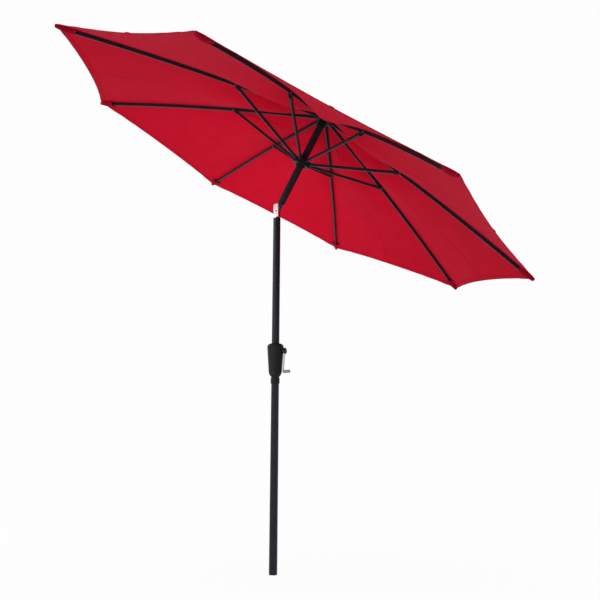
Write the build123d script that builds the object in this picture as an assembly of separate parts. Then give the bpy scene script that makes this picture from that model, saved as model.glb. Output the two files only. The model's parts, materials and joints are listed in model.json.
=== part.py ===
"""Centre-pole market umbrella: crank lift, push-button tilt, eight ribs, no base. Millimetres, +Z up.

The origin is the centre of the mast's lower end. The head (everything above the tilt pin) is modelled
upright about its own axis, with its zero at the tilt pin, and is then leaned towards +X by TILT_ANGLE.
"""
from build123d import *
from math import atan2, cos, degrees, hypot, radians, sin, sqrt, tan
import os

# Driving dimensions: mast
POLE_DIAMETER = 38.0
POLE_WALL = 1.5
COUPLING_Z = 882.0
COUPLING_LENGTH = 30.0
COUPLING_WALL = 3.0
COUPLING_CHAMFER = 1.8
SPIGOT_WALL = 2.0
SPIGOT_LENGTH = 140.0
FOOT_LENGTH = 30.0
FOOT_FLANGE = 4.0
FOOT_ROUND = 2.5

# Driving dimensions: crank unit
HOUSING_GAP = 5.0
HOUSING_HEIGHT = 163.0
HOUSING_TOP_RADIUS = 42.0
HOUSING_BOTTOM_RADIUS = 31.0
HOUSING_WALL = 3.0
HOUSING_SHOULDER = 15.0
HOUSING_FOOT_RISE = 26.0
HOUSING_NECK_RADIUS = 21.5
AXLE_DROP = 38.0
AXLE_RADIUS = 5.0
AXLE_BOSS_RADIUS = 11.0
AXLE_BOSS_STAND = 0.55
DRUM_RADIUS = 9.0
DRUM_FLANGE_RADIUS = 14.0
DRUM_LENGTH = 16.0
DRUM_FLANGE = 2.0
CRANK_LENGTH = 103.0
CRANK_THICKNESS = 4.0
CRANK_WIDTH = 13.0
CRANK_HUB_RADIUS = 15.0
CRANK_HUB_LENGTH = 15.0
CRANK_HUB_ROUND = 2.0
KNOB_PIN_RADIUS = 3.0
KNOB_RADIUS = 7.5
KNOB_LENGTH = 34.0
KNOB_ROUND = 2.6
KNOB_END_WALL = 3.0
HOUSING_SCREW_RADIUS = 1.6
HOUSING_SCREW_HEAD_RADIUS = 3.2
HOUSING_BOSS_RADIUS = 3.8
HOUSING_SCREW_INSET = 38.0

# Driving dimensions: tilt joint
PIVOT_Z = 1782.0
TILT_ANGLE = 28.6
FORK_STAND = 39.0
FORK_TOP = 41.0
FORK_PLUG = 60.0
FORK_TUCK = 0.4
FORK_FLAT = 14.0
FORK_COLLAR = 4.0
BLADE_THICKNESS = 14.0
BLADE_WIDTH = 24.0
SLOT_FLOOR = 24.0
TILT_PIN_RADIUS = 4.0
HEAD_START = 46.0
HEAD_PLUG = 62.0
BUTTON_Z = 78.0
BUTTON_RADIUS = 6.0
BUTTON_FLANGE_RADIUS = 8.0
BUTTON_FLANGE = 2.5
BUTTON_PROUD = 6.0
BUTTON_TRAVEL = 4.0
SPRING_WIRE = 0.6
SPRING_TURNS = 4
BUTTON_POCKET_FLOOR = 4.0

# Driving dimensions: head, ribs and stretchers
HUB_Z = 561.0
RUNNER_Z = 300.0
HUB_PIN_CIRCLE = 32.0
RUNNER_PIN_CIRCLE = 36.0
HINGE_PIN_RADIUS = 2.0
HINGE_PIN_REACH = 0.6
JOINT_R = 510.0
RIB_BOW = 16.1
TIP_R = 1318.0
TIP_Z = 188.0
RIB_COUNT = 8
RIB_AZIMUTH = 9.2
RIB_WIDTH = 10.0
RIB_HEIGHT = 16.0
TUBE_WALL = 1.0
STRUT_HEIGHT = 14.0
FORK_PLATE = 2.5
RIVET_HEAD_RADIUS = 6.6
RIVET_HEAD = 1.6
RIVET_ROUND = 1.0
TIP_NOSE = 36.0
TIP_END_HEIGHT = 7.0
TIP_END_WIDTH = 6.0
TIP_ROUND = 1.5
TIP_PLUG = 30.0
HUB_RADIUS = 42.0
HUB_ABOVE_PIN = 4.0
HUB_CHAMFER = 5.0
HUB_BELOW_PIN = 14.0
HUB_SKIRT = 30.0
SKIRT_WALL = 2.8
RUNNER_RADIUS = 46.0
RUNNER_ABOVE_PIN = 12.0
RUNNER_FLOOR = 11.0
RUNNER_BELOW_PIN = 18.0
RUNNER_COLLAR = 12.0
RUNNER_COLLAR_WALL = 5.0
PULLEY_BELOW_HUB = 60.0
PULLEY_RADIUS = 12.0
PULLEY_GROOVE = 3.0
PULLEY_WIDTH = 8.0
PULLEY_AXLE_RADIUS = 3.0
FINIAL_RADIUS = 26.0
FINIAL_HEIGHT = 46.0
FINIAL_FLANGE = 6.0
FINIAL_NECK_RADIUS = 9.0
FINIAL_STUD_RADIUS = 8.0

# Driving dimensions: canopy
CANOPY_THICKNESS = 0.8
CANOPY_HOLE_RADIUS = 13.0
HEM_SCALLOP = 48.0
GORE_SAG = 45.0
SAG_RISE = 2.0
SAG_FALL = 5.0
GORE_STATIONS = 8
STATION_CROWDING = 1.25
CLOTH_CLEARANCE = 3.2

# Clearances
RUNNING_FIT = 0.05
SLIDE_FIT = 0.5
SIDE_FIT = 0.4
PIVOT_SLACK = 3.9
LOOSE = 0.3

# Derived places
HOUSING_BOTTOM_Z = COUPLING_Z + COUPLING_LENGTH / 2 + HOUSING_GAP
AXLE_Z = HOUSING_BOTTOM_Z + HOUSING_HEIGHT - AXLE_DROP
HOUSING_TAPER = atan2(HOUSING_TOP_RADIUS - HOUSING_BOTTOM_RADIUS, HOUSING_HEIGHT)
POLE_R = POLE_DIAMETER / 2
BORE_R = POLE_R - POLE_WALL
FORK_R = POLE_R - FORK_TUCK
RIB_PITCH = 360.0 / RIB_COUNT
COS_HALF = cos(radians(RIB_PITCH / 2))
SLOT_WIDTH = RIB_WIDTH + 2 * SIDE_FIT
FORK_PLATE_IN = RIB_WIDTH / 2 + SIDE_FIT
FORK_PLATE_OUT = FORK_PLATE_IN + FORK_PLATE
LEAN = Pos(0, 0, PIVOT_Z) * Rot(0, TILT_ANGLE, 0)


def write(name, shape):
    """Saves one node."""
    export_step(shape, f"parts/{name}.step")


def rod(radius, start, end):
    """A round bar between two points."""
    axis = Vector(*end) - Vector(*start)
    plane = Plane(origin=start, z_dir=axis)
    return plane * Cylinder(radius, axis.length, align=(Align.CENTER, Align.CENTER, Align.MIN))


def tube(outer, inner, z0, z1):
    """A tube on the Z axis."""
    return rod(outer, (0, 0, z0), (0, 0, z1)) - rod(inner, (0, 0, z0 - 1), (0, 0, z1 + 1))


def slab(x0, x1, y0, y1, z0, z1):
    """A box between two corners."""
    return Pos(x0, y0, z0) * Box(x1 - x0, y1 - y0, z1 - z0, align=(Align.MIN,) * 3)


def spun(points):
    """A closed outline of (radius, height) points turned round the Z axis."""
    return revolve(Plane.XZ * make_face(Polyline(*points, close=True)), Axis.Z)


def profile(edges, half_width):
    """A closed outline in the radial plane (x radius, y height), as thick as two half widths."""
    return extrude(Plane.XZ * make_face(edges), half_width, both=True)


def on_rib(index, shape):
    """A shape modelled in the XZ plane, turned to a rib's azimuth and leaned with the head."""
    return LEAN * Rot(0, 0, RIB_AZIMUTH + index * RIB_PITCH) * shape


def cross_pin(radius, r, z, half_length):
    """A pin across the radial plane."""
    return rod(radius, (r, -half_length, z), (r, half_length, z))


class RibArc:
    """The rib's centre line: a bowed arc from the hub pin to the tip."""

    def __init__(self):
        x0, y0 = HUB_PIN_CIRCLE, HUB_Z
        x1, y1 = TIP_R, TIP_Z - RIB_HEIGHT / 2
        chord = hypot(x1 - x0, y1 - y0)
        self.radius = (chord ** 2 / 4 + RIB_BOW ** 2) / (2 * RIB_BOW)
        reach = (self.radius - RIB_BOW) / chord
        self.cx = (x0 + x1) / 2 + reach * (y1 - y0)
        self.cy = (y0 + y1) / 2 - reach * (x1 - x0)
        self.start = atan2(y0 - self.cy, x0 - self.cx)
        self.end = atan2(y1 - self.cy, x1 - self.cx)

    def at(self, share, offset=0.0):
        """The point at a share of the way from hub to tip, offset outwards from the arc's centre."""
        angle = self.start + share * (self.end - self.start)
        reach = self.radius + offset
        return (self.cx + reach * cos(angle), self.cy + reach * sin(angle))

    def height(self, r, offset=0.0):
        """The height of the offset arc at a radius from the head's axis."""
        return self.cy + sqrt((self.radius + offset) ** 2 - (r - self.cx) ** 2)

    def share_back(self, distance):
        """The share of the arc that ends a distance before the tip."""
        return 1 - distance / (self.radius * abs(self.end - self.start))

    def strip(self, first, last, half, round_start=False):
        """The outline of a strip along the arc, as edges."""
        low = [self.at(first, -half), self.at((first + last) / 2, -half), self.at(last, -half)]
        top = [self.at(last, half), self.at((first + last) / 2, half), self.at(first, half)]
        if round_start:
            angle = self.start + first * (self.end - self.start)
            x, y = self.at(first)
            back = (x - half * sin(angle), y + half * cos(angle))
            closing = ThreePointArc(top[-1], back, low[0])
        else:
            closing = Line(top[-1], low[0])
        return ThreePointArc(*low) + Line(low[-1], top[0]) + ThreePointArc(*top) + closing


ARC = RibArc()
RIB_END = ARC.share_back(TIP_NOSE)
JOINT_Z = ARC.height(JOINT_R)


# Mast
def lower_pole():
    return tube(POLE_R, BORE_R, FOOT_FLANGE, COUPLING_Z - COUPLING_LENGTH / 2)


def foot_cap():
    flange = rod(POLE_R - LOOSE, (0, 0, 0), (0, 0, FOOT_FLANGE))
    flange = fillet(flange.edges().group_by(Axis.Z)[0], FOOT_ROUND)
    return flange + rod(BORE_R - RUNNING_FIT, (0, 0, FOOT_FLANGE), (0, 0, FOOT_LENGTH))


def coupling_spigot():
    outer = BORE_R - RUNNING_FIT
    return tube(outer, outer - SPIGOT_WALL, COUPLING_Z - SPIGOT_LENGTH / 2, COUPLING_Z + SPIGOT_LENGTH / 2)


def coupling_sleeve():
    """The ring between the two lower tubes, which butt against it."""
    half = COUPLING_LENGTH / 2
    ring = tube(POLE_R + COUPLING_WALL, BORE_R, COUPLING_Z - half, COUPLING_Z + half)
    outside = ring.edges().filter_by(GeomType.CIRCLE).sort_by(SortBy.RADIUS)[-2:]
    return chamfer(outside, COUPLING_CHAMFER)


def mid_pole():
    pole = tube(POLE_R, BORE_R, COUPLING_Z + COUPLING_LENGTH / 2, PIVOT_Z - FORK_STAND)
    return pole - rod(AXLE_RADIUS + RUNNING_FIT, (-POLE_DIAMETER, 0, AXLE_Z), (POLE_DIAMETER, 0, AXLE_Z))


def housing_radius(z):
    """Outer radius of the tapered part of the housing."""
    share = (z - HOUSING_BOTTOM_Z) / HOUSING_HEIGHT
    return HOUSING_BOTTOM_RADIUS + share * (HOUSING_TOP_RADIUS - HOUSING_BOTTOM_RADIUS)


def housing_solid(inset):
    """The housing's form, taken in by a wall: tapered, drawn in at its foot, round at its shoulder."""
    bottom, top = HOUSING_BOTTOM_Z + inset, HOUSING_BOTTOM_Z + HOUSING_HEIGHT - inset
    bend = HOUSING_BOTTOM_Z + HOUSING_FOOT_RISE
    neck = (HOUSING_NECK_RADIUS - inset, bottom)
    side_low = (housing_radius(bend) - inset, bend)
    side_top = (housing_radius(top) - inset, top)
    foot = TangentArc(side_low, neck, tangent=(-sin(HOUSING_TAPER), -cos(HOUSING_TAPER)))
    base = Polyline(neck, (0, bottom), (0, top), side_top, side_low)
    form = revolve(Plane.XZ * make_face(foot + base), Axis.Z)
    return fillet(form.edges().group_by(Axis.Z)[-1], HOUSING_SHOULDER - inset)


def boss_end():
    """Where the axle's boss ends, proud of the housing's side all round the crank hub."""
    return housing_radius(AXLE_Z + CRANK_HUB_RADIUS) + AXLE_BOSS_STAND


def housing_screw_places():
    """The (x, z) places of the screws that join the two halves."""
    z = HOUSING_BOTTOM_Z + HOUSING_SCREW_INSET
    x = POLE_R + LOOSE + HOUSING_BOSS_RADIUS
    return [(-x, z), (x, z)]


def housing_half(front):
    """One half of the crank housing: front is the -Y half."""
    shell = housing_solid(0) - housing_solid(HOUSING_WALL)
    boss = rod(AXLE_BOSS_RADIUS, (POLE_R + LOOSE, 0, AXLE_Z), (boss_end(), 0, AXLE_Z))
    shell += boss
    for x, z in housing_screw_places():
        reach = HOUSING_TOP_RADIUS
        shell += rod(HOUSING_BOSS_RADIUS, (x, -reach, z), (x, reach, z)) & housing_solid(0)
    shell -= rod(POLE_R + RUNNING_FIT, (0, 0, 0), (0, 0, PIVOT_Z))
    shell -= rod(AXLE_RADIUS + RUNNING_FIT, (0, 0, AXLE_Z), (2 * boss_end(), 0, AXLE_Z))
    for x, z in housing_screw_places():
        seat, tip = screw_seat(x, z), screw_tip(x, z)
        bore = HOUSING_SCREW_RADIUS + RUNNING_FIT
        shell -= rod(bore, (x, tip - RUNNING_FIT, z), (x, HOUSING_TOP_RADIUS, z))
        shell -= rod(HOUSING_SCREW_HEAD_RADIUS + LOOSE, (x, seat, z), (x, HOUSING_TOP_RADIUS, z))
    big = 2 * HOUSING_TOP_RADIUS
    y0, y1 = (-big, 0) if front else (0, big)
    return shell & slab(-big, big, y0, y1, HOUSING_BOTTOM_Z - 1, HOUSING_BOTTOM_Z + HOUSING_HEIGHT + 1)


def screw_seat(x, z):
    """Where a screw head sits, sunk in the housing's rear face."""
    return sqrt(housing_radius(z) ** 2 - x * x) - 2 * HOUSING_WALL


def screw_tip(x, z):
    """Where a screw ends, short of the housing's front face."""
    return -screw_seat(x, z)


def housing_screws():
    made = []
    for x, z in housing_screw_places():
        seat = screw_seat(x, z)
        shank = rod(HOUSING_SCREW_RADIUS, (x, screw_tip(x, z), z), (x, seat, z))
        made.append(shank + rod(HOUSING_SCREW_HEAD_RADIUS, (x, seat, z), (x, seat + HOUSING_WALL / 2, z)))
    return Compound(made)


# Crank
def crank_axle():
    return rod(AXLE_RADIUS, (-sqrt(POLE_R ** 2 - AXLE_RADIUS ** 2), 0, AXLE_Z), (crank_plane(), 0, AXLE_Z))


def crank_plane():
    """Where the crank hub's inner face is."""
    return boss_end() + LOOSE


def cord_drum():
    half = DRUM_LENGTH / 2
    core = rod(DRUM_RADIUS, (-half, 0, AXLE_Z), (half, 0, AXLE_Z))
    for x in (-half - DRUM_FLANGE, half):
        core += rod(DRUM_FLANGE_RADIUS, (x, 0, AXLE_Z), (x + DRUM_FLANGE, 0, AXLE_Z))
    return core - rod(AXLE_RADIUS, (-POLE_R, 0, AXLE_Z), (POLE_R, 0, AXLE_Z))


def crank_hub():
    """A round boss, slotted across for the crank arm."""
    x0, x1 = crank_plane(), crank_plane() + CRANK_HUB_LENGTH
    boss = rod(CRANK_HUB_RADIUS, (x0, 0, AXLE_Z), (x1, 0, AXLE_Z))
    boss = fillet(boss.edges().group_by(Axis.X)[-1], CRANK_HUB_ROUND)
    half = CRANK_THICKNESS / 2 + RUNNING_FIT
    side = 2 * CRANK_HUB_RADIUS
    slot = slab(-half, half, -side, side, -side, CRANK_WIDTH / 2 + RUNNING_FIT)
    return boss - crank_frame() * slot


def crank_frame():
    """The place of the crank arm, which hangs along the tapered side of the housing."""
    middle = crank_plane() + CRANK_HUB_LENGTH / 2
    return Pos(middle, 0, AXLE_Z) * Rot(0, degrees(HOUSING_TAPER), 0)


def knob_place():
    """The x and z of the middle of the crank arm's lower end."""
    middle = crank_plane() + CRANK_HUB_LENGTH / 2
    return middle - CRANK_LENGTH * sin(HOUSING_TAPER), AXLE_Z - CRANK_LENGTH * cos(HOUSING_TAPER)


def knob_start():
    """Where the knob's inner face is, just clear of the leaning arm."""
    return knob_place()[0] + CRANK_THICKNESS / 2 + KNOB_RADIUS * tan(HOUSING_TAPER) + LOOSE


def crank_arm():
    """A flat arm with round ends, hanging from its hub, and the pin that carries the knob."""
    thick, half = CRANK_THICKNESS / 2, CRANK_WIDTH / 2
    arm = slab(-thick, thick, -half, half, -CRANK_LENGTH, 0)
    for z in (0, -CRANK_LENGTH):
        arm += rod(half, (-thick, 0, z), (thick, 0, z))
    x, z = knob_place()
    pin_end = knob_start() + KNOB_LENGTH - KNOB_END_WALL
    return crank_frame() * arm + rod(KNOB_PIN_RADIUS, (x, 0, z), (pin_end, 0, z))


def crank_knob():
    """A barrel-shaped grip with a blind bore for its pin."""
    z = knob_place()[1]
    x0, x1 = knob_start(), knob_start() + KNOB_LENGTH
    grip = rod(KNOB_RADIUS, (x0, 0, z), (x1, 0, z))
    grip = fillet(grip.edges().filter_by(GeomType.CIRCLE), KNOB_ROUND)
    return grip - rod(KNOB_PIN_RADIUS + RUNNING_FIT, (x0 - 1, 0, z), (x1 - KNOB_END_WALL + LOOSE, 0, z))


# Tilt joint
def knuckle_fork():
    """A bright plug in the mast's top with two round-topped ears, flat on their outer sides."""
    z0 = PIVOT_Z - FORK_STAND
    body = rod(FORK_R, (0, 0, z0), (0, 0, PIVOT_Z + FORK_TOP))
    crown = cross_pin(FORK_R, 0, PIVOT_Z + FORK_TOP - FORK_R, POLE_DIAMETER)
    body = body & (crown + slab(-POLE_R, POLE_R, -POLE_R, POLE_R, z0, PIVOT_Z + FORK_TOP - FORK_R))
    body += rod(BORE_R - RUNNING_FIT, (0, 0, z0 - FORK_PLUG), (0, 0, z0))
    for y0, y1 in ((-POLE_R, -FORK_FLAT), (FORK_FLAT, POLE_R)):
        body -= slab(-POLE_R, POLE_R, y0, y1, z0 + FORK_COLLAR, PIVOT_Z + FORK_TOP)
    half_slot = BLADE_THICKNESS / 2 + SIDE_FIT
    body -= slab(-POLE_R, POLE_R, -half_slot, half_slot, PIVOT_Z - SLOT_FLOOR, PIVOT_Z + 2 * FORK_TOP)
    return body - cross_pin(TILT_PIN_RADIUS + RUNNING_FIT, 0, PIVOT_Z, POLE_DIAMETER)


def tilt_pin():
    return cross_pin(TILT_PIN_RADIUS, 0, PIVOT_Z, FORK_FLAT)


def knuckle_blade():
    """The head's swinging blade and the plug that carries the upper pole and the button."""
    half = BLADE_WIDTH / 2
    blade = slab(-half, half, -BLADE_THICKNESS / 2, BLADE_THICKNESS / 2, 0, HEAD_START)
    blade += cross_pin(half, 0, 0, BLADE_THICKNESS / 2)
    blade += rod(BORE_R - RUNNING_FIT, (0, 0, HEAD_START), (0, 0, HEAD_START + HEAD_PLUG))
    blade -= cross_pin(TILT_PIN_RADIUS + RUNNING_FIT, 0, 0, POLE_R)
    pocket = rod(BUTTON_FLANGE_RADIUS + LOOSE, (0, button_floor(), BUTTON_Z), (0, POLE_DIAMETER, BUTTON_Z))
    return LEAN * (blade - pocket)


def button_floor():
    """The Y place of the bottom of the button's pocket."""
    return BUTTON_POCKET_FLOOR - BORE_R + BUTTON_FLANGE_RADIUS


def button_flange_y():
    """The Y place of the button flange's inner face at rest."""
    return sqrt(BORE_R ** 2 - BUTTON_FLANGE_RADIUS ** 2) - LOOSE - BUTTON_FLANGE


def tilt_button():
    y = button_flange_y()
    flange = rod(BUTTON_FLANGE_RADIUS, (0, y, BUTTON_Z), (0, y + BUTTON_FLANGE, BUTTON_Z))
    stem = rod(BUTTON_RADIUS, (0, y, BUTTON_Z), (0, POLE_R + BUTTON_PROUD, BUTTON_Z))
    stem = fillet(stem.edges().group_by(Axis.Y)[-1], BUTTON_RADIUS / 3)
    return LEAN * (flange + stem)


def button_spring():
    """A coil spring from the pocket's floor to the button's flange."""
    y0, y1 = button_floor() + SPRING_WIRE + RUNNING_FIT, button_flange_y() - SPRING_WIRE - RUNNING_FIT
    coil = Helix(pitch=(y1 - y0) / SPRING_TURNS, height=y1 - y0, radius=BUTTON_RADIUS)
    wire = sweep(Plane(coil @ 0, z_dir=coil % 0) * Circle(SPRING_WIRE), coil, is_frenet=True)
    return LEAN * Pos(0, y0, BUTTON_Z) * Rot(-90, 0, 0) * wire


# Head
def upper_pole():
    pole = tube(POLE_R, BORE_R, HEAD_START, HUB_Z - HUB_BELOW_PIN)
    pole -= rod(BUTTON_RADIUS + LOOSE, (0, 0, BUTTON_Z), (0, POLE_DIAMETER, BUTTON_Z))
    pole -= cross_pin(PULLEY_AXLE_RADIUS + RUNNING_FIT, 0, HUB_Z - PULLEY_BELOW_HUB, POLE_DIAMETER)
    return LEAN * pole


def pulley_axle():
    half = sqrt(POLE_R ** 2 - PULLEY_AXLE_RADIUS ** 2)
    return LEAN * cross_pin(PULLEY_AXLE_RADIUS, 0, HUB_Z - PULLEY_BELOW_HUB, half)


def pulley():
    """A grooved wheel for the lift line, turned round its own axis and laid across the pole."""
    half, bore = PULLEY_WIDTH / 2, PULLEY_AXLE_RADIUS + RUNNING_FIT
    groove = PULLEY_RADIUS - PULLEY_GROOVE
    rim = [(bore, -half), (PULLEY_RADIUS, -half), (groove, 0), (PULLEY_RADIUS, half), (bore, half)]
    return LEAN * Pos(0, 0, HUB_Z - PULLEY_BELOW_HUB) * Rot(90, 0, 0) * spun(rim)


def rib_slots(inner, outer, z0, z1):
    """Radial slots for every rib or stretcher."""
    slot = slab(inner, outer, -SLOT_WIDTH / 2, SLOT_WIDTH / 2, z0, z1)
    return [Rot(0, 0, RIB_AZIMUTH + i * RIB_PITCH) * slot for i in range(RIB_COUNT)]


def pin_half(circle):
    """Half the length of a hinge pin, which ends inside the two fins beside its slot."""
    fin = circle * sin(radians(RIB_PITCH / 2)) - SLOT_WIDTH / 2
    return SLOT_WIDTH / 2 + HINGE_PIN_REACH * fin


def hinge_pins(circle, z):
    pin = cross_pin(HINGE_PIN_RADIUS, circle, z, pin_half(circle))
    return Compound([on_rib(i, pin) for i in range(RIB_COUNT)])


def pin_holes(circle, z):
    hole = cross_pin(HINGE_PIN_RADIUS + RUNNING_FIT, circle, z, pin_half(circle) + RUNNING_FIT)
    return [Rot(0, 0, RIB_AZIMUTH + i * RIB_PITCH) * hole for i in range(RIB_COUNT)]


def hub():
    """The slotted head that the ribs hang from, with a skirt that holds the upper pole."""
    low, top = HUB_Z - HUB_BELOW_PIN, HUB_Z + HUB_ABOVE_PIN
    body = rod(HUB_RADIUS, (0, 0, low), (0, 0, top))
    body = chamfer(body.edges().group_by(Axis.Z)[-1], HUB_CHAMFER)
    skirt = POLE_R + RUNNING_FIT
    body += tube(skirt + SKIRT_WALL, skirt, low - HUB_SKIRT, low)
    body -= rib_slots(HUB_PIN_CIRCLE - RIB_HEIGHT / 2 - LOOSE, 2 * HUB_RADIUS, low - 1, top + 1)
    body -= pin_holes(HUB_PIN_CIRCLE, HUB_Z)
    return LEAN * (body - rod(FINIAL_STUD_RADIUS / 2 + RUNNING_FIT, (0, 0, low - 1), (0, 0, top + 1)))


def runner():
    """The sliding ring that the stretchers push from."""
    bore = POLE_R + SLIDE_FIT
    body = rod(RUNNER_RADIUS, (0, 0, RUNNER_Z - RUNNER_BELOW_PIN), (0, 0, RUNNER_Z + RUNNER_ABOVE_PIN))
    collar = bore + RUNNER_COLLAR_WALL
    low, top = RUNNER_Z - RUNNER_BELOW_PIN - RUNNER_COLLAR, RUNNER_Z + RUNNER_ABOVE_PIN + RUNNER_COLLAR
    body += rod(collar, (0, 0, low), (0, 0, top))
    inner = RUNNER_PIN_CIRCLE - STRUT_HEIGHT / 2 - LOOSE
    body -= rib_slots(inner, 2 * RUNNER_RADIUS, RUNNER_Z - RUNNER_FLOOR, top)
    body -= pin_holes(RUNNER_PIN_CIRCLE, RUNNER_Z)
    return LEAN * (body - rod(bore, (0, 0, low - 1), (0, 0, top + 1)))


def rib():
    """A rectangular tube bent to the rib's arc, rounded at the hub pin."""
    bar = profile(ARC.strip(0, RIB_END, RIB_HEIGHT / 2, round_start=True), RIB_WIDTH / 2)
    start = 2 * RIB_HEIGHT / (TIP_R - HUB_PIN_CIRCLE)
    hollow = ARC.strip(start, 1.1, RIB_HEIGHT / 2 - TUBE_WALL)
    bar -= profile(hollow, RIB_WIDTH / 2 - TUBE_WALL)
    bar -= cross_pin(HINGE_PIN_RADIUS + RUNNING_FIT, HUB_PIN_CIRCLE, HUB_Z, RIB_WIDTH)
    return bar - cross_pin(HINGE_PIN_RADIUS + RUNNING_FIT, JOINT_R, JOINT_Z, RIB_WIDTH)


def rib_rivet():
    """The rivet that joins a stretcher's fork to its rib."""
    seat = FORK_PLATE_OUT + LOOSE
    pin = cross_pin(HINGE_PIN_RADIUS, JOINT_R, JOINT_Z, seat)
    for side in (-1, 1):
        outside = side * (seat + RIVET_HEAD)
        head = rod(RIVET_HEAD_RADIUS, (JOINT_R, side * seat, JOINT_Z), (JOINT_R, outside, JOINT_Z))
        pin += fillet(head.edges().group_by(Axis.Y)[-1 if side > 0 else 0], RIVET_ROUND)
    return pin


def rib_tip():
    """The plastic nose plugged into a rib's open end, tapered from below and from both sides."""
    half = RIB_HEIGHT / 2
    root, root_top = ARC.at(RIB_END, -half), ARC.at(RIB_END, half)
    end, end_top = ARC.at(1.0, half - TIP_END_HEIGHT), ARC.at(1.0, half)
    nose = profile(Polyline(root, end, end_top, root_top, close=True), RIB_WIDTH / 2)
    wide, narrow = RIB_WIDTH / 2, TIP_END_WIDTH / 2
    plan = Polyline((root[0], -wide), (root_top[0], -wide), (end_top[0], -narrow),
                    (end_top[0], narrow), (root_top[0], wide), (root[0], wide), close=True)
    nose = nose & extrude(make_face(plan), HUB_Z)
    nose = fillet(nose.faces().sort_by(Axis.X)[-1].edges(), TIP_ROUND)
    plug = ARC.strip(ARC.share_back(TIP_NOSE + TIP_PLUG), RIB_END, half - TUBE_WALL - RUNNING_FIT)
    return nose + profile(plug, RIB_WIDTH / 2 - TUBE_WALL - RUNNING_FIT)


STRUT_LENGTH = hypot(JOINT_R - RUNNER_PIN_CIRCLE, JOINT_Z - RUNNER_Z)
STRUT_ANGLE = degrees(atan2(JOINT_Z - RUNNER_Z, JOINT_R - RUNNER_PIN_CIRCLE))
RIB_ANGLE = degrees(atan2(HUB_Z - JOINT_Z, JOINT_R - HUB_PIN_CIRCLE))


def strut():
    """A stretcher: a rectangular tube pinned in the runner, with a fork that straddles its rib."""
    half = STRUT_HEIGHT / 2
    meet = radians(STRUT_ANGLE + RIB_ANGLE)
    clear = (RIB_HEIGHT / 2 + half * cos(meet) + PIVOT_SLACK + LOOSE) / sin(meet)
    end = STRUT_LENGTH - clear
    collar = end - 2 * STRUT_HEIGHT
    bar = slab(0, end, -RIB_WIDTH / 2, RIB_WIDTH / 2, -half, half) + cross_pin(half, 0, 0, RIB_WIDTH / 2)
    bore_half, bore_height = RIB_WIDTH / 2 - TUBE_WALL, half - TUBE_WALL
    bar -= slab(2 * half, end + 1, -bore_half, bore_half, -bore_height, bore_height)
    fork = slab(collar, STRUT_LENGTH, -FORK_PLATE_OUT, FORK_PLATE_OUT, -half, half)
    fork += cross_pin(half, STRUT_LENGTH, 0, FORK_PLATE_OUT)
    fork -= slab(end, 2 * STRUT_LENGTH, -FORK_PLATE_IN, FORK_PLATE_IN, -2 * half, 2 * half)
    fork -= slab(collar - 1, end + 1, -RIB_WIDTH / 2, RIB_WIDTH / 2, -half, half)
    bar += fork
    bar -= cross_pin(HINGE_PIN_RADIUS + RUNNING_FIT, 0, 0, RIB_WIDTH)
    bar -= cross_pin(HINGE_PIN_RADIUS + PIVOT_SLACK, STRUT_LENGTH, 0, 2 * RIB_WIDTH)
    return Pos(RUNNER_PIN_CIRCLE, 0, RUNNER_Z) * Rot(0, -STRUT_ANGLE, 0) * bar


def finial():
    """A turned knob on a stud that clamps the canopy's centre to the hub."""
    seat = canopy_under(CANOPY_HOLE_RADIUS) + CANOPY_THICKNESS + LOOSE
    ball = FINIAL_HEIGHT / 2 - FINIAL_FLANGE
    centre = seat + FINIAL_HEIGHT - ball
    flange = rod(FINIAL_RADIUS, (0, 0, seat), (0, 0, seat + FINIAL_FLANGE))
    flange = fillet(flange.edges().group_by(Axis.Z)[-1], FINIAL_FLANGE / 2)
    knob = flange + rod(FINIAL_NECK_RADIUS, (0, 0, seat), (0, 0, centre)) + Pos(0, 0, centre) * Sphere(ball)
    knob += rod(FINIAL_STUD_RADIUS, (0, 0, HUB_Z + HUB_ABOVE_PIN), (0, 0, seat))
    return LEAN * (knob + rod(FINIAL_STUD_RADIUS / 2, (0, 0, HUB_Z - HUB_BELOW_PIN), (0, 0, seat)))


# Canopy
def canopy_under(r):
    """The height of the cloth's underside over a rib, at a radius."""
    return ARC.height(r, RIB_HEIGHT / 2 + CLOTH_CLEARANCE)


def gore_sag(t):
    """How far the middle of a gore hangs under its ribs, at a share of the way from hub to hem."""
    peak = SAG_RISE / (SAG_RISE + SAG_FALL)
    return GORE_SAG * (t / peak) ** SAG_RISE * ((1 - t) / (1 - peak)) ** SAG_FALL


def gore_lines():
    """The cloth's underside points along a rib and along the middle of the next gore."""
    on, mid = [], []
    for k in range(GORE_STATIONS + 1):
        t = (k / GORE_STATIONS) ** STATION_CROWDING
        r = CANOPY_HOLE_RADIUS + t * (TIP_R - CANOPY_HOLE_RADIUS)
        on.append((r, canopy_under(r)))
        m = CANOPY_HOLE_RADIUS * COS_HALF + t * ((TIP_R - CANOPY_HOLE_RADIUS) * COS_HALF - HEM_SCALLOP)
        mid.append((m, canopy_under(m / COS_HALF) - gore_sag(t)))
    return on, mid


def polar(r, z, azimuth):
    return (r * cos(radians(azimuth)), r * sin(radians(azimuth)), z)


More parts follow.
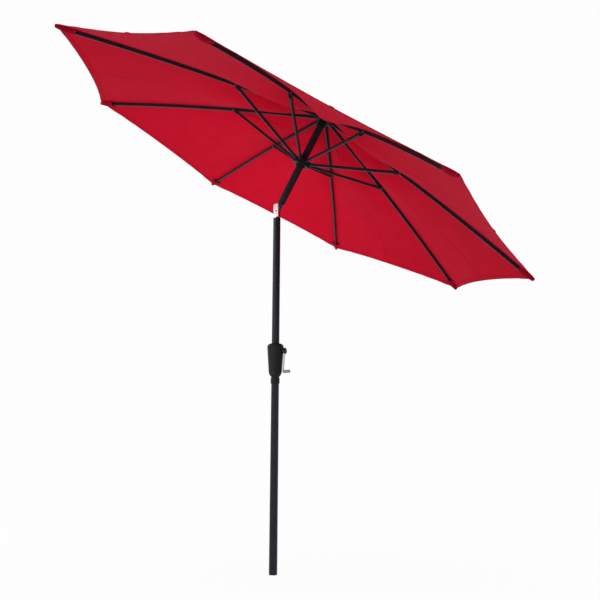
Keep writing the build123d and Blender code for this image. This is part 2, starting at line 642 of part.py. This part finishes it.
def gore(index):
    """One cloth panel between two ribs, as a thin closed solid with flat facets."""
    azimuth = RIB_AZIMUTH + index * RIB_PITCH
    on, mid = gore_lines()
    lines = [[polar(r, z, azimuth + turn) for r, z in line]
             for line, turn in ((on, 0), (mid, RIB_PITCH / 2), (on, RIB_PITCH))]
    lift = Vector(0, 0, CANOPY_THICKNESS)
    faces = []

    def add(*points):
        faces.append(Face(Wire.make_polygon([Vector(*p) for p in points], close=True)))

    up = [[tuple(Vector(*p) + lift) for p in line] for line in lines]
    for a, b, a_up, b_up in ((lines[0], lines[1], up[0], up[1]), (lines[1], lines[2], up[1], up[2])):
        for k in range(GORE_STATIONS):
            for p, q in ((a, b), (a_up, b_up)):
                add(p[k], p[k + 1], q[k + 1])
                add(p[k], q[k + 1], q[k])
        for k in (0, GORE_STATIONS):
            add(a[k], b[k], b_up[k])
            add(a[k], b_up[k], a_up[k])
    for line, line_up in ((lines[0], up[0]), (lines[2], up[2])):
        for k in range(GORE_STATIONS):
            add(line[k], line[k + 1], line_up[k + 1])
            add(line[k], line_up[k + 1], line_up[k])
    return Solid(Shell(faces))


def canopy():
    return Compound([LEAN * gore(i) for i in range(RIB_COUNT)])


def main():
    os.makedirs("parts", exist_ok=True)
    single = {
        "lower_pole": lower_pole(),
        "foot_cap": foot_cap(),
        "coupling_spigot": coupling_spigot(),
        "coupling_sleeve": coupling_sleeve(),
        "mid_pole": mid_pole(),
        "crank_housing_front": housing_half(True),
        "crank_housing_rear": housing_half(False),
        "housing_screws": housing_screws(),
        "crank_axle": crank_axle(),
        "cord_drum": cord_drum(),
        "crank_hub": crank_hub(),
        "crank_arm": crank_arm(),
        "crank_knob": crank_knob(),
        "knuckle_fork": knuckle_fork(),
        "tilt_pin": tilt_pin(),
        "knuckle_blade": knuckle_blade(),
        "tilt_button": tilt_button(),
        "button_spring": button_spring(),
        "upper_pole": upper_pole(),
        "pulley_axle": pulley_axle(),
        "pulley": pulley(),
        "hub": hub(),
        "hub_pins": hinge_pins(HUB_PIN_CIRCLE, HUB_Z),
        "runner": runner(),
        "runner_pins": hinge_pins(RUNNER_PIN_CIRCLE, RUNNER_Z),
        "finial": finial(),
        "canopy": canopy(),
    }
    for name, shape in single.items():
        write(name, shape)
    repeated = {"rib": rib(), "rib_rivet": rib_rivet(), "rib_tip": rib_tip(), "strut": strut()}
    for name, shape in repeated.items():
        for i in range(RIB_COUNT):
            write(f"{name}_{i + 1}", on_rib(i, shape))


main()
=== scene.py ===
"""Looks of the patio umbrella: cloth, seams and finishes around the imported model. Metres, +Z up."""
import json
import math

import bmesh
import bpy
from mathutils import Matrix, Vector


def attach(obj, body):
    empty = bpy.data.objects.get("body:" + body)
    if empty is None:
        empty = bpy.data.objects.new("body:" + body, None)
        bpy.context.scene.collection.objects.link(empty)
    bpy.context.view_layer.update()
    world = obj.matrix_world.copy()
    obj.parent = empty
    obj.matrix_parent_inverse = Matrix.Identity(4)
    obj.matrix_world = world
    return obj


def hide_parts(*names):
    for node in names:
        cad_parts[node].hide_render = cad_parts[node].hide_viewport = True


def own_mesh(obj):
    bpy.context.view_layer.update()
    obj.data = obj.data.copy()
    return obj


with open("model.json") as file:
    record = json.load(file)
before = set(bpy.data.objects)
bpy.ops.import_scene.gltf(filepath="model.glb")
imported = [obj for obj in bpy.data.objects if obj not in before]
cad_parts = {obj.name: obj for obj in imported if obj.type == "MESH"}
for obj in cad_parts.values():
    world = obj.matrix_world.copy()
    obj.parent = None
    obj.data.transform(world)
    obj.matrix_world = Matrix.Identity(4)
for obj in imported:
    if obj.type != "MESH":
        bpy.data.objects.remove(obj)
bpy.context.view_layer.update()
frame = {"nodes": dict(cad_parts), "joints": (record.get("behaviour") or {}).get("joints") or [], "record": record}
NODES = frame["nodes"]
JOINTS = {joint["name"]: joint for joint in frame["joints"]}

# Camera, as fitted to the photograph
CAMERA_PLACE = (1.2457, -2.8207, 0.4061)
CAMERA_FORWARD = (-0.3531, 0.8937, 0.2770)
CAMERA_LENS = 37.78
CAMERA_SENSOR = 36.0
CAMERA_NEAR = 0.05

# Ribs in the head frame, which has its zero at the tilt pin and its axis along the leaned upper pole.
# A place is a radius and a height. The tip is the top of the rib's end.
RIB_COUNT = 8
PITCH = math.radians(360 / RIB_COUNT)
HUB_PIN = (0.032, 0.561)
TIP = (1.318, 0.188)
RIB_HEIGHT = 0.016
RIB_BOW = 0.0161
SLOPE_STEP = 0.01

# Cloth
CLOTH_LIFT = 0.0016
CLOTH_THICKNESS = 0.0008
CLOTH_HOLE = 0.022
CLOTH_END = 1.324
CLOTH_SPAN = CLOTH_END - CLOTH_HOLE
SEAM_HALF_WIDTH = 0.009
ACROSS = 22
ALONG = 56
SHARP_EDGE = math.radians(50)

# Sag of a gore between its ribs: its depth, and how it rises from the hub, falls to the hem and eases in
GORE_SAG = 0.045
SAG_RISE = 2.0
SAG_FALL = 5.0
SAG_EASE = 1.4

# Hem: its inward curve, its own sag, and the turned edge. The last two are shares: of the cloth's length,
# for the step up to the full thickness, and of the hem's width, for its middle row.
HEM_SCALLOP = 0.041
HEM_SAG = 0.010
HEM_SAG_REACH = 4
HEM_WIDTH = 0.022
HEM_EXTRA = 0.0009
HEM_STEP = 0.0006
HEM_MIDDLE = 0.4

# Wrinkles that fan out from the corners
WRINKLE_HEIGHT = 0.0016
WRINKLE_HALF_WAVES = 9
WRINKLE_REACH = 6
WRINKLE_FADE = 2

# Room over the ends of the struts, which rise a little against the ribs halfway through the fold
STRUT_END = 0.510
STRUT_ROOM = 0.0012
STRUT_ROOM_REACH = 0.045
STRUT_ROOM_FADE = 4

# The lap of a half gore over the next half gore: its width, its limit near the hub as a share, its height, and
# where the step up to it starts and ends
LAP_WIDTH = 0.018
LAP_SHARE = 0.6
LAP_RAISE = 0.0012
LAP_RISER = (0.0026, 0.0018)

# Corner pockets that hold the rib ends, from the nose (start) to the mouth (end)
POCKET_LENGTH = 0.085
POCKET_HALF_WIDTHS = (0.0055, 0.030)
POCKET_DEPTHS = (0.0105, 0.0195)
POCKET_FLATS = (0.0040, 0.0062)
POCKET_TAPER = 0.042
POCKET_NOSE = 0.004
POCKET_NOSE_SHARES = (0.15, 1.0)
POCKET_ROUNDING = 1.3
POCKET_SPACING = 1.6
POCKET_ACROSS = 20
POCKET_ALONG = 24

# Button spring in the head frame: a coil along Y
SPRING_Z = 0.078
SPRING_ENDS = (-0.0047, 0.0119)
SPRING_COIL = 0.006
SPRING_WIRE = 0.0006
SPRING_TURNS = 4
SPRING_STEPS = 28
WIRE_SIDES = 10

# All finishes: where a noise's two colours start to mix, and the depth of the relief
RAMP_ENDS = (0.35, 0.65)
RELIEF_DEPTH = 0.0002

# Hard finishes: how much coarser the mottling is than the grain, their detail, and the span of roughness
MOTTLE_SIZE = 40
MOTTLE_DETAIL = 6.0
GRAIN_DETAIL = 4.0
ROUGHNESS_SHARES = (0.85, 1.15)

# Cloth finish
CLOTH_TONES = ((0.472, 0.0021, 0.0172), (0.500, 0.0025, 0.0188))
# The pockets' tones are the cloth's red at a little over half its brightness: painted shade for the pockets under
# the canopy's corners.
POCKET_PAINTED_SHADE_TONES = ((0.255, 0.0019, 0.0135), (0.290, 0.0022, 0.0150))
DYE_SCALE = 9.0
DYE_DETAIL = 8.0
THREAD_PITCH = 0.0016
WEAVE_STRENGTH = 0.25
CLOTH_ROUGHNESS = 0.82
CLOTH_GLOSS = 0.04
SHEEN_WEIGHT = 0.05
SHEEN_ROUGHNESS = 0.40
SHEEN_TINT = (0.75, 0.25, 0.55)

# Seams of the cloth: the hem's stitches and binding and the seam tape, and how far each darkens the cloth
STITCH_TONE = (0.18, 0.0020, 0.010)
STITCH_FROM_HEM = 0.9 * HEM_WIDTH
STITCH_HALF_WIDTH = 0.0008
STITCH_LENGTH = 0.004
STITCH_FILL = 0.65
STITCH_SHADE = 0.35
BINDING_WIDTH = 0.006
BINDING_SHADE = 0.55
TAPE_SHADE = 0.12

# Studio
FLOOR_SIZE = 60.0
FLOOR_TONE = (0.88, 0.88, 0.88)
FLOOR_ROUGHNESS = 0.9
FLOOR_GLOW = 0.92
SKY_LIGHT = 0.85
SKY_SEEN = 0.985
KEY_LAMP = {"place": (-3.5, -3.5, 4.5), "aim": (0, 0, 1.4), "size": 2.0, "power": 120, "beam": 180}
LOW_LAMP = {"place": (-0.8, -1.3, 0.2), "aim": (-0.45, 0.8, 2.0), "size": 0.8, "power": 4.4, "beam": 60}


def head_matrix():
    """From the head frame to the row frame."""
    axis = -Vector(JOINTS["runner_slide"]["axis"])
    side = Vector(JOINTS["tilt"]["axis"])
    front = side.cross(axis)
    turn = Matrix((front, side, axis)).transposed().to_4x4()
    return Matrix.Translation(Vector(JOINTS["tilt"]["pos_m"])) @ turn


HEAD = head_matrix()


def add_object(name, data):
    """Puts a mesh, camera or lamp into the scene as an object."""
    obj = bpy.data.objects.new(name, data)
    bpy.context.scene.collection.objects.link(obj)
    return obj


def between(ends, share):
    """A value between two ends, held at them outside the range."""
    return ends[0] + (ends[1] - ends[0]) * min(1.0, max(0.0, share))


def rib_azimuth(index):
    """The azimuth of a rib in the head frame, from its hinge."""
    place = HEAD.inverted() @ Vector(JOINTS[f"rib_hinge_{index + 1}"]["pos_m"])
    return math.atan2(place.y, place.x)


def rib_axes(index):
    """Unit vectors along a rib's azimuth and across it, in the head frame."""
    azimuth = rib_azimuth(index)
    out = Vector((math.cos(azimuth), math.sin(azimuth), 0))
    across = Vector((-math.sin(azimuth), math.cos(azimuth), 0))
    return out, across


def rib_arc():
    """Centre and radius of the rib's centre line, bowed up from the chord between its hub pin and its tip."""
    r0, z0 = HUB_PIN
    r1, z1 = TIP[0], TIP[1] - RIB_HEIGHT / 2
    chord = math.hypot(r1 - r0, z1 - z0)
    radius = (chord ** 2 / 4 + RIB_BOW ** 2) / (2 * RIB_BOW)
    reach = (radius - RIB_BOW) / chord
    centre_r = (r0 + r1) / 2 + reach * (z1 - z0)
    centre_z = (z0 + z1) / 2 - reach * (r1 - r0)
    return centre_r, centre_z, radius


ARC = rib_arc()


def rib_top(r):
    """Height of the cloth's underside over a rib."""
    centre_r, centre_z, radius = ARC
    return centre_z + math.sqrt((radius + RIB_HEIGHT / 2 + CLOTH_LIFT) ** 2 - (r - centre_r) ** 2)


def rib_slope(r):
    """How fast the cloth falls along a rib, at a radius."""
    return (rib_top(r - SLOPE_STEP) - rib_top(r)) / SLOPE_STEP


def droop(u):
    """Share of a gore's sag, from the rib (0) to the middle of the gore (1)."""
    return 1 - (1 - u ** SAG_EASE) ** 2


def scallop(u):
    """Share of the hem's inward curve, from the rib (0) to the middle of the gore (1)."""
    return u * (2 - u)


def gore_sag(t):
    """How far the middle of a gore hangs under its ribs, from hub (0) to hem (1)."""
    peak = SAG_RISE / (SAG_RISE + SAG_FALL)
    return GORE_SAG * (t / peak) ** SAG_RISE * ((1 - t) / (1 - peak)) ** SAG_FALL


def wrinkle(u, t):
    """Height of the wrinkles near a corner."""
    wave = math.sin(WRINKLE_HALF_WAVES * math.pi * u)
    return WRINKLE_HEIGHT * wave * t ** WRINKLE_REACH * (1 - u) ** WRINKLE_FADE


def strut_room(u, r):
    """How far the cloth is raised over the end of a strut."""
    along = math.exp(-((r - STRUT_END) / STRUT_ROOM_REACH) ** 2)
    return STRUT_ROOM * along * (1 - u) ** STRUT_ROOM_FADE


def cloth_point(azimuth, side, u, t):
    """A point of the cloth's underside in the head frame, u across a half gore and t from hub to hem."""
    t_here = t * (1 - HEM_SCALLOP / (CLOTH_SPAN * math.cos(PITCH / 2)) * scallop(u))
    r = CLOTH_HOLE + t_here * CLOTH_SPAN
    near = Vector((math.cos(azimuth), math.sin(azimuth), 0))
    far = Vector((math.cos(azimuth + side * PITCH), math.sin(azimuth + side * PITCH), 0))
    place = near.lerp(far, u / 2) * r
    sag = (gore_sag(t_here) + HEM_SAG * t ** HEM_SAG_REACH) * droop(u)
    place.z = rib_top(r) - sag + wrinkle(u, t_here) + strut_room(u, r)
    return place


def gore_point(azimuth, side, u, t):
    """A point of the cloth which may lie past the middle of the gore (1), over the next half gore."""
    if u > 1:
        return cloth_point(azimuth + side * PITCH, -side, 2 - u, t)
    return cloth_point(azimuth, side, u, t)


def plain_columns(end):
    """Shares across a half gore up to an end, none of them raised."""
    return [(end * k / ACROSS, 0) for k in range(ACROSS + 1)]


def lapped_columns(width, raised):
    """Shares across a half gore whose free edge steps up and laps over the next half gore."""
    low, high = LAP_RISER
    lap = min(LAP_SHARE, LAP_WIDTH / width)
    return plain_columns(1 - low / width) + [(1 - high / width, raised), (1 + lap, raised)]


def half_gore(index, side):
    """Half of one cloth panel, from a rib to the middle of the gore, with a thicker turned hem."""
    azimuth = rib_azimuth(index)
    hem_start = 1 - HEM_WIDTH / CLOTH_SPAN
    along = [k / ALONG * hem_start for k in range(ALONG + 1)]
    along += [hem_start + HEM_STEP, hem_start + HEM_MIDDLE * (1 - hem_start), 1.0]
    under, over, marks = [], [], []
    for t in along:
        r = CLOTH_HOLE + t * CLOTH_SPAN
        width = r * math.sin(PITCH / 2)
        extra = HEM_EXTRA if t > hem_start else 0
        columns = lapped_columns(width, LAP_RAISE + 2 * extra) if side > 0 else plain_columns(1.0)
        for u, raised in columns:
            place = gore_point(azimuth, side, u, t)
            place.z += raised
            under.append(HEAD @ (place - Vector((0, 0, extra))))
            over.append(HEAD @ (place + Vector((0, 0, CLOTH_THICKNESS + extra))))
            marks.append((u * width, CLOTH_END - r))
    name = f"canopy_{index + 1}_{'right' if side > 0 else 'left'}"
    return build_sheet(name, under, over, marks, len(along), side)


def pocket(index):
    """The cloth pocket under a canopy corner, which wraps a rib's end and opens towards the hub."""
    out, across = rib_axes(index)
    under, over, marks = [], [], []
    for i in range(POCKET_ALONG + 1):
        s = POCKET_LENGTH * (i / POCKET_ALONG) ** POCKET_SPACING
        r = CLOTH_END - s
        half = between(POCKET_HALF_WIDTHS, s / POCKET_LENGTH)
        flat = between(POCKET_FLATS, s / POCKET_TAPER)
        depth = between(POCKET_DEPTHS, s / POCKET_TAPER) * between(POCKET_NOSE_SHARES, s / POCKET_NOSE)
        for k in range(POCKET_ACROSS + 1):
            y = half * (2 * k / POCKET_ACROSS - 1)
            rise = max(0.0, (abs(y) - flat) / (half - flat))
            drop = depth * (1 - rise ** POCKET_ROUNDING)
            level = rib_top(r) - abs(y) * math.tan(PITCH / 2) * rib_slope(r)
            place = out * r + across * y + Vector((0, 0, level - CLOTH_THICKNESS - drop))
            under.append(HEAD @ (place - Vector((0, 0, CLOTH_THICKNESS))))
            over.append(HEAD @ place)
            # Marked clear of the seam tape and the hem, which a pocket doesn't have
            marks.append((2 * SEAM_HALF_WIDTH + abs(y), 2 * HEM_WIDTH + s))
    return build_sheet(f"pocket_{index + 1}", under, over, marks, POCKET_ALONG + 1, 1)


def sheet_faces(rows, columns, side):
    """Faces of a closed thin mesh over two grids of points, the first grid's numbers before the second's."""
    count = rows * columns
    faces = []

    def quad(a, b, c, d):
        faces.append((a, b, c, d) if side > 0 else (d, c, b, a))

    for i in range(rows - 1):
        for k in range(columns - 1):
            a, b = i * columns + k, i * columns + k + 1
            c, d = b + columns, a + columns
            quad(a, b, c, d)
            quad(d + count, c + count, b + count, a + count)
    rim = list(range(columns))
    rim += [i * columns + columns - 1 for i in range(1, rows)]
    rim += [(rows - 1) * columns + k for k in range(columns - 2, -1, -1)]
    rim += [i * columns for i in range(rows - 2, 0, -1)]
    for a, b in zip(rim, rim[1:] + rim[:1]):
        quad(b, a, a + count, b + count)
    return faces


def build_sheet(name, under, over, marks, rows, side):
    """A closed thin mesh from two grids of points, with lengths across and along the cloth as its UVs."""
    count = len(under)
    mesh = bpy.data.meshes.new(name)
    mesh.from_pydata([tuple(p) for p in under + over], [], sheet_faces(rows, count // rows, side))
    layer = mesh.uv_layers.new(name="cloth")
    for loop in mesh.loops:
        layer.data[loop.index].uv = marks[loop.vertex_index % count]
    mesh.shade_smooth()
    mesh.validate()
    obj = add_object(name, mesh)
    turn_faces_out(mesh)
    return obj


def turn_faces_out(mesh):
    """Turns a mesh's faces outwards and keeps its sharp edges sharp."""
    shape = bmesh.new()
    shape.from_mesh(mesh)
    bmesh.ops.recalc_face_normals(shape, faces=shape.faces)
    for edge in shape.edges:
        edge.smooth = edge.calc_face_angle(0) < SHARP_EDGE
    shape.to_mesh(mesh)
    shape.free()


def new_material(name):
    """An empty node material, its node tree and its Principled shader."""
    material = bpy.data.materials.new(name)
    material.use_nodes = True
    tree = material.node_tree
    return material, tree, tree.nodes["Principled BSDF"]


def link(tree, out_socket, in_socket):
    """Joins two sockets of a node tree."""
    tree.links.new(out_socket, in_socket)


def noise(tree, scale, detail):
    """A noise texture in object coordinates."""
    node = tree.nodes.new("ShaderNodeTexNoise")
    node.inputs["Scale"].default_value = scale
    node.inputs["Detail"].default_value = detail
    link(tree, tree.nodes.new("ShaderNodeTexCoord").outputs["Object"], node.inputs["Vector"])
    return node.outputs["Fac"]


def ramp(tree, value, low, high):
    """Two colours laid over a value."""
    node = tree.nodes.new("ShaderNodeValToRGB")
    for element, colour, position in zip(node.color_ramp.elements, (low, high), RAMP_ENDS):
        element.color = (*colour, 1)
        element.position = position
    link(tree, value, node.inputs["Fac"])
    return node.outputs["Color"]


def spread(tree, value, low, high):
    """A value from 0 to 1 mapped to a range."""
    node = tree.nodes.new("ShaderNodeMapRange")
    node.inputs["To Min"].default_value = low
    node.inputs["To Max"].default_value = high
    link(tree, value, node.inputs["Value"])
    return node.outputs["Result"]


def math_node(tree, operation, *values):
    """A maths node on sockets or numbers."""
    node = tree.nodes.new("ShaderNodeMath")
    node.operation = operation
    for socket, value in zip(node.inputs, values):
        if isinstance(value, (int, float)):
            socket.default_value = value
        else:
            link(tree, value, socket)
    return node.outputs["Value"]


def mix_colour(tree, share, colour_socket, other):
    """Mixes a colour socket with a fixed colour by a share."""
    node = tree.nodes.new("ShaderNodeMix")
    node.data_type = "RGBA"
    link(tree, share, node.inputs["Factor"])
    link(tree, colour_socket, node.inputs["A"])
    node.inputs["B"].default_value = (*other, 1)
    return node.outputs["Result"]


def bump(tree, shader, height, strength):
    """Gives a shader a shallow relief."""
    node = tree.nodes.new("ShaderNodeBump")
    node.inputs["Strength"].default_value = strength
    node.inputs["Distance"].default_value = RELIEF_DEPTH
    link(tree, height, node.inputs["Height"])
    link(tree, node.outputs["Normal"], shader.inputs["Normal"])


def rigid_finish(name, low, high, roughness, grain, metallic=0.0, relief=0.15, gloss=0.5):
    """A painted, plated or moulded surface: colour and roughness vary, with a fine grain in relief."""
    material, tree, shader = new_material(name)
    fine = noise(tree, grain, GRAIN_DETAIL)
    mottle = noise(tree, grain / MOTTLE_SIZE, MOTTLE_DETAIL)
    smoothest, roughest = [roughness * share for share in ROUGHNESS_SHARES]
    link(tree, ramp(tree, mottle, low, high), shader.inputs["Base Color"])
    link(tree, spread(tree, mottle, smoothest, roughest), shader.inputs["Roughness"])
    shader.inputs["Metallic"].default_value = metallic
    shader.inputs["Specular IOR Level"].default_value = gloss
    bump(tree, shader, fine, relief)
    return material


def rigid_finishes():
    """The finishes of the hard parts, by material slot."""
    return {
        "pole_finish": rigid_finish(
            "graphite_paint", (0.012, 0.012, 0.020), (0.017, 0.017, 0.027),
            roughness=0.36, grain=1800, gloss=0.15),
        "dark_metal": rigid_finish(
            "black_paint", (0.015, 0.011, 0.020), (0.021, 0.016, 0.028),
            roughness=0.50, grain=1500, gloss=0.18),
        "black_plastic": rigid_finish(
            "black_moulding", (0.005, 0.007, 0.008), (0.009, 0.011, 0.012),
            roughness=0.50, grain=2500, gloss=0.15),
        "bright_metal": rigid_finish(
            "plating", (0.74, 0.74, 0.77), (0.82, 0.82, 0.85),
            roughness=0.32, grain=900, metallic=1.0, relief=0.004),
        "crank_metal": rigid_finish(
            "satin_alloy", (0.50, 0.53, 0.52), (0.58, 0.61, 0.60),
            roughness=0.5, grain=1200),
        "grip": rigid_finish(
            "grey_grip", (0.20, 0.20, 0.21), (0.28, 0.28, 0.29),
            roughness=0.55, grain=2200, gloss=0.3),
        "steel": rigid_finish(
            "zinc_steel", (0.10, 0.10, 0.11), (0.16, 0.16, 0.17),
            roughness=0.35, grain=1500, metallic=0.8),
    }


def threads(tree, socket):
    """One set of threads across a coordinate, as a wave from 0 to 1."""
    turns = math_node(tree, "MULTIPLY", socket, 2 * math.pi / THREAD_PITCH)
    wave = math_node(tree, "SINE", turns)
    return math_node(tree, "MULTIPLY_ADD", wave, 0.5, 0.5)


def under_edge(tree, value, edge):
    """1 where a value is under an edge, else 0."""
    return math_node(tree, "LESS_THAN", value, edge)


def hem_stitches(tree, across, from_hem):
    """1 on the stitches of the hem, else 0."""
    off_line = math_node(tree, "ABSOLUTE", math_node(tree, "SUBTRACT", from_hem, STITCH_FROM_HEM))
    run = math_node(tree, "FRACT", math_node(tree, "DIVIDE", across, STITCH_LENGTH))
    on_line = under_edge(tree, off_line, STITCH_HALF_WIDTH)
    return math_node(tree, "MULTIPLY", on_line, under_edge(tree, run, STITCH_FILL))


def seam_shade(tree, across, from_hem):
    """How far the stitches, the binding and the seam tape darken the cloth, from 0 to 1."""
    stitches = math_node(tree, "MULTIPLY", hem_stitches(tree, across, from_hem), STITCH_SHADE)
    binding = math_node(tree, "MULTIPLY", under_edge(tree, from_hem, BINDING_WIDTH), BINDING_SHADE)
    tape = math_node(tree, "MULTIPLY", under_edge(tree, across, SEAM_HALF_WIDTH), TAPE_SHADE)
    return math_node(tree, "MAXIMUM", stitches, math_node(tree, "MAXIMUM", tape, binding))


def cloth_finish(name, tones):
    """Woven cloth: weave relief, mottled dye, a bound and stitched hem, and seam tapes."""
    material, tree, shader = new_material(name)
    uv = tree.nodes.new("ShaderNodeUVMap")
    uv.uv_map = "cloth"
    parts = tree.nodes.new("ShaderNodeSeparateXYZ")
    link(tree, uv.outputs["UV"], parts.inputs["Vector"])
    across, from_hem = parts.outputs["X"], parts.outputs["Y"]
    dye = ramp(tree, noise(tree, DYE_SCALE, DYE_DETAIL), *tones)
    colour = mix_colour(tree, seam_shade(tree, across, from_hem), dye, STITCH_TONE)
    link(tree, colour, shader.inputs["Base Color"])
    shader.inputs["Roughness"].default_value = CLOTH_ROUGHNESS
    shader.inputs["Sheen Weight"].default_value = SHEEN_WEIGHT
    shader.inputs["Sheen Roughness"].default_value = SHEEN_ROUGHNESS
    shader.inputs["Sheen Tint"].default_value = (*SHEEN_TINT, 1)
    shader.inputs["Specular IOR Level"].default_value = CLOTH_GLOSS
    weave = math_node(tree, "MULTIPLY", threads(tree, across), threads(tree, from_hem))
    bump(tree, shader, weave, WEAVE_STRENGTH)
    return material


def dress_cad(finishes):
    """Gives every CAD node its finish by material slot. The cloth has a mesh of its own instead."""
    for row in frame["record"]["subparts"]:
        node, slot = row["node"], row["material_slot"]
        if slot in finishes:
            NODES[node].data.materials.clear()
            NODES[node].data.materials.append(finishes[slot])


def coil_mesh(along):
    """The button spring's wire, wound around an axis in the head frame."""
    steps = SPRING_TURNS * SPRING_STEPS
    points, faces = [], []
    for i in range(steps + 1):
        angle = math.tau * i / SPRING_STEPS
        out = Vector((math.cos(angle), 0, math.sin(angle)))
        y = between(SPRING_ENDS, i / steps)
        middle = out * SPRING_COIL + Vector((0, y, SPRING_Z))
        for k in range(WIRE_SIDES):
            turn = math.tau * k / WIRE_SIDES
            points.append(HEAD @ (middle + (out * math.cos(turn) + along * math.sin(turn)) * SPRING_WIRE))
    for i in range(steps):
        for k in range(WIRE_SIDES):
            a, b = i * WIRE_SIDES + k, i * WIRE_SIDES + (k + 1) % WIRE_SIDES
            faces.append((a, b, b + WIRE_SIDES, a + WIRE_SIDES))
    faces.append(tuple(range(WIRE_SIDES - 1, -1, -1)))
    faces.append(tuple(range(steps * WIRE_SIDES, (steps + 1) * WIRE_SIDES)))
    mesh = bpy.data.meshes.new("spring_coil")
    mesh.from_pydata([tuple(p) for p in points], [], faces)
    mesh.shade_smooth()
    return mesh


def spring(finish):
    """The button's coil spring, in place of the model's spring part."""
    along = Vector((0, 1, 0))
    mesh = coil_mesh(along)
    mesh.materials.append(finish)
    obj = add_object("spring_coil", mesh)
    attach(obj, "head")
    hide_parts("button_spring")
    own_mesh(obj)


def follow_rib(obj, index):
    """Turns a half gore with its rib."""
    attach(obj, f"rib_arm_{index + 1}")
    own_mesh(obj)


def add_half_gore(index, side, finish):
    """A finished half gore that follows its rib, cut as a triangle with a lap on its right side."""
    piece = half_gore(index, side)
    piece.data.materials.append(finish)
    follow_rib(piece, index)
    return piece


def add_pocket(index, finish):
    """A finished corner pocket on its rib, cut as a trapezium."""
    corner = pocket(index)
    corner.data.materials.append(finish)
    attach(corner, f"rib_arm_{index + 1}")


def canopy():
    """Sixteen half gores, which meet along the ribs and lap at the middle of each gore, and eight pockets."""
    cloth = cloth_finish("red_cloth", CLOTH_TONES)
    # The pockets take the darker tones, which paint in their shade.
    pocket_shade_finish = cloth_finish("pocket_cloth_painted_shade", POCKET_PAINTED_SHADE_TONES)
    gores = []
    for index in range(RIB_COUNT):
        gores += [add_half_gore(index, side, cloth) for side in (1, -1)]
        add_pocket(index, pocket_shade_finish)
    for piece in gores:
        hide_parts("canopy")


def camera():
    """The photograph's camera."""
    data = bpy.data.cameras.new("camera")
    data.lens = CAMERA_LENS
    data.sensor_width = CAMERA_SENSOR
    data.clip_start = CAMERA_NEAR
    obj = add_object("camera", data)
    obj.location = CAMERA_PLACE
    obj.rotation_euler = Vector(CAMERA_FORWARD).to_track_quat("-Z", "Y").to_euler()
    bpy.context.scene.camera = obj


def area_light(name, place, aim, size, power, beam):
    """A square lamp aimed at a point, with the angle of its beam in degrees."""
    data = bpy.data.lights.new(name, "AREA")
    data.size = size
    data.energy = power
    data.spread = math.radians(beam)
    obj = add_object(name, data)
    obj.location = place
    obj.rotation_euler = (Vector(aim) - Vector(place)).to_track_quat("-Z", "Y").to_euler()


def background_ray(tree):
    """1 for what the camera, a reflection or a transmitted ray sees, else 0."""
    path = tree.nodes.new("ShaderNodeLightPath")
    seen = math_node(tree, "MAXIMUM", path.outputs["Is Camera Ray"], path.outputs["Is Glossy Ray"])
    return math_node(tree, "MAXIMUM", seen, path.outputs["Is Transmission Ray"])


def floor_finish():
    """A pale floor that looks nearly as white as the background and still takes a shadow."""
    material, tree, shader = new_material("floor")
    shader.inputs["Base Color"].default_value = (*FLOOR_TONE, 1)
    shader.inputs["Roughness"].default_value = FLOOR_ROUGHNESS
    glow = tree.nodes.new("ShaderNodeEmission")
    blend = tree.nodes.new("ShaderNodeMixShader")
    link(tree, math_node(tree, "MULTIPLY", background_ray(tree), FLOOR_GLOW), blend.inputs["Fac"])
    link(tree, shader.outputs["BSDF"], blend.inputs[1])
    link(tree, glow.outputs["Emission"], blend.inputs[2])
    link(tree, blend.outputs["Shader"], tree.nodes["Material Output"].inputs["Surface"])
    return material


def floor():
    """The square floor under the pole's foot."""
    half = FLOOR_SIZE / 2
    corners = [(-half, -half, 0), (half, -half, 0), (half, half, 0), (-half, half, 0)]
    mesh = bpy.data.meshes.new("floor")
    mesh.from_pydata(corners, [], [(0, 1, 2, 3)])
    obj = add_object("floor", mesh)
    mesh.materials.append(floor_finish())


def sky():
    """A white background that lights the object from all around."""
    world = bpy.data.worlds.new("world")
    bpy.context.scene.world = world
    world.use_nodes = True
    tree = world.node_tree
    background = tree.nodes["Background"]
    background.inputs["Color"].default_value = (1, 1, 1, 1)
    strength = spread(tree, background_ray(tree), SKY_LIGHT, SKY_SEEN)
    link(tree, strength, background.inputs["Strength"])


def studio():
    """A pale floor under a white background, with a soft light from above and a weak one from below."""
    floor()
    sky()
    area_light("key", **KEY_LAMP)
    area_light("low", **LOW_LAMP)
    bpy.context.scene.view_settings.view_transform = "Standard"


camera()
FINISHES = rigid_finishes()
dress_cad(FINISHES)
spring(FINISHES["steel"])
canopy()
studio()
